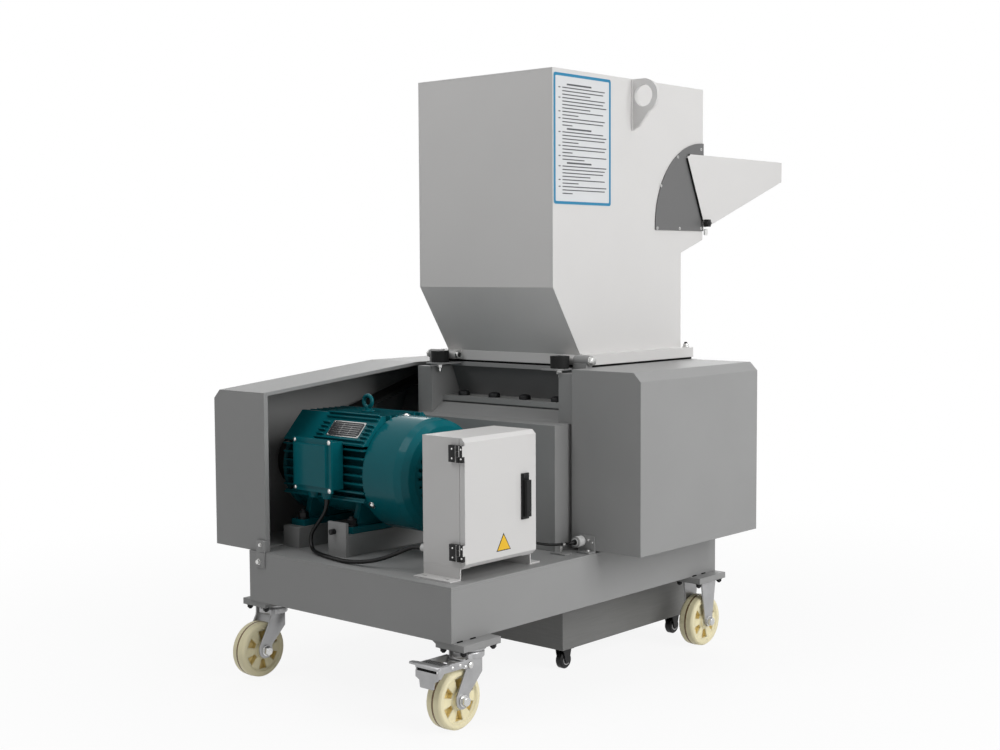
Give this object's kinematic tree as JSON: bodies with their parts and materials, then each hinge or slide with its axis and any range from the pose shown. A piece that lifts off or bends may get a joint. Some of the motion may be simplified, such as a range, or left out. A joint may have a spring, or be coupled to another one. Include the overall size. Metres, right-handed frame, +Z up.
{
  "type": "plastic crusher",
  "caption": "Wheeled plastic crusher: sloped hopper with folding feed tray, claw rotor chamber, belt-driven motor, control cabinet and roll-out collection bin.",
  "frame": {"origin": "centre of the bounding box on the floor under the wheels", "axes": "+X along the rotor shaft towards the closed flywheel cover, +Y towards the feed tray, +Z up"},
  "size_m": [0.876, 1.4916, 1.375],
  "materials": {
    "base_paint": "mid grey textured enamel",
    "zinc": "bright zinc plate",
    "nylon": "cream cast nylon",
    "stainless": "brushed stainless sheet",
    "black_plastic": "black moulding",
    "tool_steel": "ground tool steel",
    "shaft_steel": "turned steel",
    "belt_rubber": "black rubber belts",
    "motor_paint": "dark teal enamel",
    "pale_plastic": "pale grey plastic",
    "cabinet_paint": "light grey powder coat",
    "white_paint": "off-white powder coat",
    "quadrant_paint": "grey powder coat",
    "buffer_rubber": "black rubber",
    "cable_jacket": "black cable jacket"
  },
  "bodies": {
    "machine": {"base_deck": "base_paint", "base_end_skirts": "base_paint", "base_side_skirts": "base_paint", "bearing_housings": "base_paint", "belts": "belt_rubber", "cabinet_brackets": "base_paint", "cabinet_shell": "cabinet_paint", "cabinet_top_bottom": "cabinet_paint", "cable_glands": "pale_plastic", "caster_plates": "base_paint", "chamber_end_walls": "base_paint", "chamber_rim": "base_paint", "chamber_side_plates": "base_paint", "eyebolt": "motor_paint", "fan_cowl": "motor_paint", "fixed_knives": "tool_steel", "flywheel_cover": "base_paint", "guard_edge_sheets": "base_paint", "guard_outer_sheet": "base_paint", "guard_top_sheets": "base_paint", "hopper_gasket": "buffer_rubber", "limit_switch": "base_paint", "lower_housing": "base_paint", "motor_cable": "cable_jacket", "motor_end_shield": "motor_paint", "motor_frame": "motor_paint", "motor_rails": "base_paint", "rear_caster_forks": "zinc", "rim_brackets": "base_paint", "rubber_buffers": "buffer_rubber", "screen": "tool_steel", "switch_cable": "cable_jacket", "terminal_box": "motor_paint"},
    "hopper": {"hopper_side_panels": "white_paint", "hopper_front_sheet": "white_paint", "hopper_roof_sheet": "white_paint", "hopper_rear_sheet": "white_paint", "hopper_flange": "white_paint", "lifting_lugs": "white_paint", "quadrant_plates": "quadrant_paint"},
    "feed_tray": {"tray_cheeks": "white_paint", "tray_floor": "white_paint"},
    "cabinet_door": {"cabinet_door": "cabinet_paint", "door_handle": "black_plastic"},
    "collection_bin": {"bin_floor_and_ends": "stainless", "bin_sides": "stainless", "bin_handle": "stainless", "bin_casters": "black_plastic"},
    "bin_front_wheels": {"bin_front_wheels": "black_plastic"},
    "bin_rear_wheels": {"bin_rear_wheels": "black_plastic"},
    "right_swivel_fork": {"right_swivel_fork": "zinc"},
    "left_swivel_fork": {"left_swivel_fork": "zinc"},
    "brake_pedal": {"brake_pedal": "zinc"},
    "front_right_wheel": {"front_right_wheel": "nylon"},
    "front_left_wheel": {"front_left_wheel": "nylon"},
    "rear_right_wheel": {"rear_right_wheel": "nylon"},
    "rear_left_wheel": {"rear_left_wheel": "nylon"},
    "rotor": {"rotor_shaft_and_pulley": "shaft_steel", "rotor_claws": "tool_steel"},
    "motor_shaft": {"motor_shaft": "shaft_steel"}
  },
  "joints": [
    {"name": "hopper_tip", "type": "hinge", "parent": "machine", "child": "hopper", "pos_m": [0, -0.14525, 0.717], "axis": [1, 0, 0], "range_deg": [0, 57]},
    {"name": "feed_tray_fold", "type": "hinge", "parent": "hopper", "child": "feed_tray", "pos_m": [0, 0.37975, 1.04], "axis": [1, 0, 0], "range_deg": [0, 68]},
    {"name": "cabinet_door_swing", "type": "hinge", "parent": "machine", "child": "cabinet_door", "pos_m": [0.285, -0.62625, 0.452], "axis": [0, 0, -1], "range_deg": [0, 110]},
    {"name": "bin_roll_out", "type": "slide", "parent": "machine", "child": "collection_bin", "axis": [0, 1, 0], "range_m": [0, 0.6]},
    {"name": "bin_front_wheels_spin", "type": "hinge", "parent": "collection_bin", "child": "bin_front_wheels", "pos_m": [0, -0.16825, 0.02], "axis": [1, 0, 0], "continuous": true},
    {"name": "bin_rear_wheels_spin", "type": "hinge", "parent": "collection_bin", "child": "bin_rear_wheels", "pos_m": [0, 0.27075, 0.02], "axis": [1, 0, 0], "continuous": true},
    {"name": "right_caster_swivel", "type": "hinge", "parent": "machine", "child": "right_swivel_fork", "pos_m": [0.306, -0.62225, 0.15], "axis": [0, 0, 1], "continuous": true},
    {"name": "left_caster_swivel", "type": "hinge", "parent": "machine", "child": "left_swivel_fork", "pos_m": [-0.306, -0.62225, 0.15], "axis": [0, 0, 1], "continuous": true},
    {"name": "brake_pedal_press", "type": "hinge", "parent": "right_swivel_fork", "child": "brake_pedal", "pos_m": [0.306, -0.65025, 0.133], "axis": [1, 0, 0], "range_deg": [0, 10]},
    {"name": "front_right_wheel_spin", "type": "hinge", "parent": "right_swivel_fork", "child": "front_right_wheel", "pos_m": [0.306, -0.66825, 0.0625], "axis": [1, 0, 0], "continuous": true},
    {"name": "front_left_wheel_spin", "type": "hinge", "parent": "left_swivel_fork", "child": "front_left_wheel", "pos_m": [-0.306, -0.66825, 0.0625], "axis": [1, 0, 0], "continuous": true},
    {"name": "rear_right_wheel_spin", "type": "hinge", "parent": "machine", "child": "rear_right_wheel", "pos_m": [0.306, 0.21875, 0.0625], "axis": [1, 0, 0], "continuous": true},
    {"name": "rear_left_wheel_spin", "type": "hinge", "parent": "machine", "child": "rear_left_wheel", "pos_m": [-0.306, 0.21875, 0.0625], "axis": [1, 0, 0], "continuous": true},
    {"name": "rotor_spin", "type": "hinge", "parent": "machine", "child": "rotor", "pos_m": [0, 0.05275, 0.515], "axis": [1, 0, 0], "continuous": true},
    {"name": "motor_shaft_spin", "type": "hinge", "parent": "machine", "child": "motor_shaft", "pos_m": [-0.385, -0.44725, 0.471], "axis": [1, 0, 0], "continuous": true}
  ],
  "couplings": [
    {"joint": "motor_shaft_spin", "follows": "rotor_spin", "ratio": 2.6786}
  ]
}
